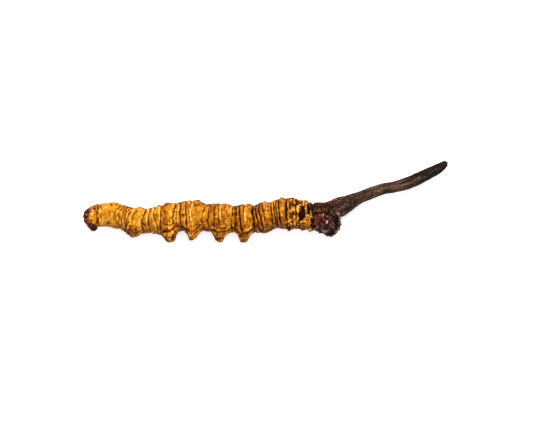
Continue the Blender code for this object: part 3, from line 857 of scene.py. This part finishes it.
crust = {
    "middle": (10.75, -2.9, 2.5),
    # the centre and the half sizes of each lump
    "lumps": [
        ((10.75, -2.9, 2.5), (2.45, 2.65, 2.35)), ((12.0, -4.1, 2.45), (1.05, 1.9, 2.15)),
        ((9.75, -1.5, 2.5), (1.5, 1.35, 2.15)), ((11.3, -1.2, 2.6), (1.7, 1.25, 1.9)),
        ((9.85, -4.1, 2.3), (1.5, 1.22, 2.4)), ((11.3, -4.9, 2.35), (1.25, 1.2, 2.45)),
        ((10.2, -4.55, 2.3), (1.1, 0.98, 2.6)), ((9.25, -2.6, 2.5), (1.5, 2.3, 2.4)),
    ],
    "leastReach": 0.3,
    "sharpness": 5.0,  # how sharply one lump meets the next
    "drawnIn": 0.12,  # makes up for what the blend adds
    "spur": (13.05, -4.0, 2.9),  # a small thorn on the outline
    "rows": 180,
    "around": 220,
}
stalk = {
    # x, y, z and radius along its middle line
    "path": [
        (11.6, -1.8, 2.55, 1.5), (12.1, -1.46, 2.6, 1.68), (13.1, -0.95, 2.68, 1.74),
        (14.2, -0.5, 2.76, 1.56), (15.2, 0.03, 2.84, 1.32), (16.3, 0.54, 2.92, 1.09),
        (18.4, 1.42, 3.02, 1.03), (20.5, 2.14, 3.04, 0.96), (22.6, 2.54, 3.0, 1.02),
        (24.7, 3.1, 2.92, 1.12), (26.8, 3.98, 2.82, 1.1), (28.95, 5.03, 2.7, 1.0),
        (30.7, 5.95, 2.58, 0.84), (31.4, 6.42, 2.54, 0.68), (31.8, 6.68, 2.51, 0.48),
        (32.12, 6.84, 2.5, 0.0),
    ],
    "rows": 400,
    "around": 120,
    "tones": [(0.0, "#080403"), (0.3, "#20140e"), (0.5, "#3d2b20"), (0.7, "#5e4533"), (1.0, "#947256")],
    "rust": "#8a4a22",
    "streaksPerMm": 3.4,  # streaks of 0.3 mm across, drawn out along the stalk
    "grainPerMm": 3.2,  # grains of 0.3 mm
    "weights": (2.4, 1.4, -1.0),  # how far streaks, grain and hollows shift the tone; the hollows paint shade into grooves and light onto crests
    "bumpDepth": 0.05,
    "roughness": 0.6,
    "specular": 0.06,
}


def stalkFlesh():
    # dried fungus flesh: brittle and matte, dark brown, drawn into lengthwise wrinkles with a fine grain
    material, shader, link = newMaterial(
        "dried fungus flesh", Roughness=stalk["roughness"], Specular_IOR_Level=stalk["specular"],
    )
    _, scaled = coordinates(material)
    flow = addNode(material, "ShaderNodeAttribute", {"attribute_name": "flow"}).outputs["Vector"]
    tone, hollow, rust = [
        addNode(material, "ShaderNodeAttribute", {"attribute_name": name}).outputs["Fac"]
        for name in ("tone", "hollow", "rust")
    ]
    streaks, grain = [
        addNode(
            material, "ShaderNodeTexNoise", None,
            Vector=along, Scale=perMm, Detail=detail, Roughness=roughness,
        ).outputs["Fac"]
        for along, perMm, detail, roughness in (
            (flow, stalk["streaksPerMm"], 6.0, 0.8), (scaled, stalk["grainPerMm"], 4.0, 0.7),
        )
    ]
    shade = addPatterns(material, tone, zip((streaks, grain, hollow), stalk["weights"]))
    ramp = addNode(material, "ShaderNodeValToRGB", None, Fac=shade)
    setRamp(ramp, stalk["tones"])
    patches = addNode(
        material, "ShaderNodeMapRange", None, Value=grain, From_Min=0.48, From_Max=0.62,
    ).outputs[0]
    share = addNode(material, "ShaderNodeMath", {"operation": "MULTIPLY"}, i0=patches, i1=rust).outputs[0]
    colour = addNode(
        material, "ShaderNodeMix", ofColours, i0=share, i6=ramp.outputs[0], i7=toLinear(stalk["rust"]),
    ).outputs[2]
    link(colour, shader.inputs["Base Color"])
    bump = addNode(
        material, "ShaderNodeBump", None, Strength=0.6, Distance=stalk["bumpDepth"] * mm, Height=grain,
    )
    link(bump.outputs[0], shader.inputs["Normal"])
    return material


def fromLobe(spots, lobe):
    # the distance from a lobe's centre, 1 on the lobe itself, and the distance towards the lobe's far side
    centre, halfSizes = lobe[:2]
    own = turned(spots - np.array(centre), -head["turn"])
    return np.linalg.norm(own / np.array(halfSizes), axis=-1), own[..., 0]


def crustSurface():
    # along each direction from the crust's middle, a smooth maximum of its lumps, with granular relief
    origin = np.array(crust["middle"])
    directions = ball((0, 0, 0), (1, 1, 1), 0, crust["rows"], crust["around"])
    total = 0
    for centre, halfSizes in crust["lumps"]:
        # where the direction leaves the lump, from the square equation for a line through a ball
        sizes = np.array(halfSizes)
        start = (origin - np.array(centre)) / sizes
        way = directions / sizes
        a = np.sum(way * way, -1)
        b = np.sum(way * start, -1)
        c = np.sum(start * start) - 1
        inside = b * b - a * c
        out = np.where(inside > 0, (-b + np.sqrt(np.maximum(inside, 0))) / a, crust["leastReach"])
        total = total + np.exp(crust["sharpness"] * out)
    reach = np.maximum(crust["leastReach"], np.log(total) / crust["sharpness"] - crust["drawnIn"])
    spots = origin + directions * reach[..., None]

    height = 0.24 * layeredNoise(spots, 0.95, 501) - 0.22 * np.abs(layeredNoise(spots, 0.6, 511, 2)) + 0.08
    rim = 0 * reach
    for lobe in head["lobes"]:
        # a lip stands round each lobe, low on its far side, and the crust sinks where the lobe comes through
        distance, forward = fromLobe(spots, lobe)
        rim = np.maximum(rim, hump(distance - 1.16, 0.1) * (forward < 0.4))
        nearSide = 1 - 0.8 * eased((forward - 0.1) / 0.6)
        height += 0.32 * nearSide * hump(distance - 1.13, 0.12) - 0.2 * eased((1.0 - distance) / 0.1)
    # a raised ear curves round the far side of the last lobe, with a hollow inside it
    farSide = eased((forward + 0.2) / 0.8)
    ear = hump(distance - 1.68, 0.14) * farSide
    hollow = hump(distance - 1.32, 0.2) * farSide
    height += 0.12 * layeredNoise(spots, 0.36, 515, 2)
    height += 0.4 * hump(np.linalg.norm(spots - np.array(crust["spur"]), axis=-1), 0.22)
    height += 0.22 * ear - 0.36 * hollow
    height[[0, -1]] = 0
    values = {
        # paler on the ear, and darker in the hollow inside it as painted shade
        "tone": 0.1 + 0.5 * layeredNoise(spots, 0.36, 521) + 0.75 * ear - 0.22 * hollow,
        "hollow": hollowness(height, 4),
        "rust": np.clip(rim * 0.9 + 0.2 * ear + 0.4 * eased(spots[..., 1] + 2.2), 0, 1),
        "flow": spots,
    }
    return gridPart(raised(spots, height), values)


def stalkSurface():
    # circles of the path's radius round its middle line, with wrinkles of noise that is drawn out along it
    x, y, z, r = np.array(stalk["path"]).T
    given = np.concatenate([[0], np.cumsum(np.sqrt(np.diff(x) ** 2 + np.diff(y) ** 2 + np.diff(z) ** 2))])
    fine = np.linspace(0, given[-1], 3000)
    fineRadius = np.maximum(smoothLine(fine, given, r), 0)
    fineRadius[0] = 0
    length = np.concatenate([[0], np.cumsum(np.hypot(np.diff(fine), np.diff(fineRadius)))])
    even = np.interp(np.linspace(0, length[-1], stalk["rows"]), length, fine)
    line = np.stack([smoothLine(even, given, v) for v in (x, y, z)], -1)
    radius = np.interp(even, fine, fineRadius)
    radius[[0, -1]] = 0
    ahead = np.gradient(line, axis=0)
    ahead /= np.linalg.norm(ahead, axis=-1, keepdims=True)
    sideways = np.cross([0, 0, 1], ahead)
    sideways /= np.linalg.norm(sideways, axis=-1, keepdims=True)
    upward = np.cross(ahead, sideways)
    angle = np.linspace(0, 2 * np.pi, stalk["around"], endpoint=False)[None, :]
    ring = np.cos(angle)[..., None] * sideways[:, None] + np.sin(angle)[..., None] * upward[:, None]
    spots = line[:, None] + ring * radius[:, None, None]

    along = even[:, None] + 0 * angle
    thick = np.maximum(radius, 0.4)[:, None]
    # along the stalk, the noise is drawn out about 8 times
    flow = np.stack([along * 0.12, thick * np.cos(angle), thick * np.sin(angle)], -1)
    narrow = np.clip(radius / 0.9, 0, 1)[:, None]
    height = narrow * (0.1 * layeredNoise(flow, 0.55, 601) - 0.07 * np.abs(latticeNoise(flow, 0.35, 611)))
    height += 0.025 * layeredNoise(spots, 0.16, 621, 2)
    root = eased((3.2 - along) / 2.0)
    height += root * 0.14 * layeredNoise(spots, 0.8, 631)
    height[[0, -1]] = 0

    place = line[:, :1]
    side = np.cos(angle)  # 1 on the side of the larva's back
    tone = 0.4 + 0.1 * hump(place - 21.0, 4.0) - 0.12 * eased((place - 25.5) / 3)  # palest half way out
    tone = tone + 0.1 * hump(side + 0.2, 0.45) * hump(place - 24.0, 4.0)  # a pale band past the middle
    tone = tone - 0.15 * eased((side - 0.1) / 0.4) * eased((place - 23.5) / 1.2)  # a darker band beside it
    tone = tone - 0.75 * eased((-side - 0.35) / 0.3) * eased((place - 25.5) / 2)  # near black under the tip, partly its own colour and partly painted shade of the side turned from the key light
    values = {"tone": tone + 0 * along, "hollow": hollowness(height, 3), "rust": 0.25 * root, "flow": flow}
    return gridPart(raised(spots, height), values)


makePiece("stalkAndCrust", [stalkSurface(), crustSurface()], stalkFlesh(), "stroma")
